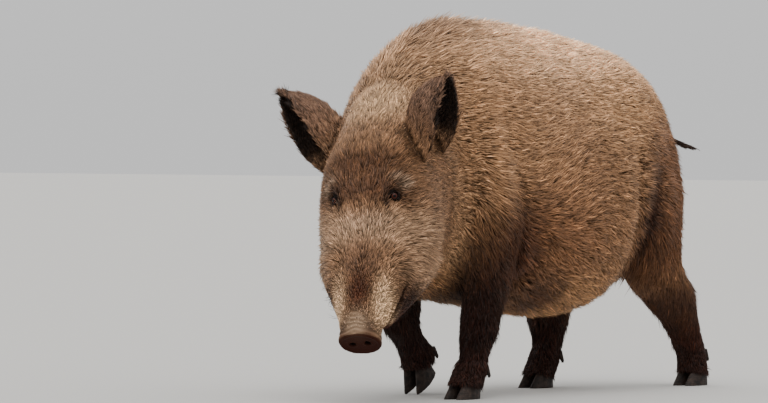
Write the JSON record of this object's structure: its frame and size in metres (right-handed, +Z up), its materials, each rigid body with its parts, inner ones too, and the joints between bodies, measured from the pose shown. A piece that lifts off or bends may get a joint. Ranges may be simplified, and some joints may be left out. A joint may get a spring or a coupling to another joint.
{
  "type": "wild boar",
  "caption": "Life-size standing wild boar in a bristly winter coat, walking with its head low and turned to its left; a still display model.",
  "frame": {"origin": "centre of the bounding box at ground level, under the belly", "axes": "the boar heads towards -Y, +X is its left side, +Z is up"},
  "size_m": [0.4984, 1.4008, 0.8549],
  "materials": {
    "coat_body": "grizzled brown winter coat of bristles over wool",
    "coat_dark": "short dark brown hair",
    "snout_skin": "bare damp skin",
    "hoof_horn": "dull dark horn",
    "eye": "polished, wet"
  },
  "bodies": {
    "root": {"dewclaw_fore_left_inner": "hoof_horn", "dewclaw_fore_left_outer": "hoof_horn", "dewclaw_fore_right_inner": "hoof_horn", "dewclaw_fore_right_outer": "hoof_horn", "dewclaw_hind_left_inner": "hoof_horn", "dewclaw_hind_left_outer": "hoof_horn", "dewclaw_hind_right_inner": "hoof_horn", "dewclaw_hind_right_outer": "hoof_horn", "ear_left": "coat_dark", "ear_right": "coat_dark", "eye_left": "eye", "eye_right": "eye", "foot_fore_left": "coat_dark", "foot_fore_right": "coat_dark", "foot_hind_left": "coat_dark", "foot_hind_right": "coat_dark", "head": "coat_body", "hoof_fore_left_inner": "hoof_horn", "hoof_fore_left_outer": "hoof_horn", "hoof_fore_right_inner": "hoof_horn", "hoof_fore_right_outer": "hoof_horn", "hoof_hind_left_inner": "hoof_horn", "hoof_hind_left_outer": "hoof_horn", "hoof_hind_right_inner": "hoof_horn", "hoof_hind_right_outer": "hoof_horn", "jaw": "coat_body", "lower_leg_fore_left": "coat_dark", "lower_leg_fore_right": "coat_dark", "lower_leg_hind_left": "coat_dark", "lower_leg_hind_right": "coat_dark", "neck": "coat_body", "snout": "snout_skin", "tail": "coat_dark", "trunk": "coat_body", "upper_leg_fore_left": "coat_body", "upper_leg_fore_right": "coat_body", "upper_leg_hind_left": "coat_body", "upper_leg_hind_right": "coat_body"}
  },
  "joints": []
}
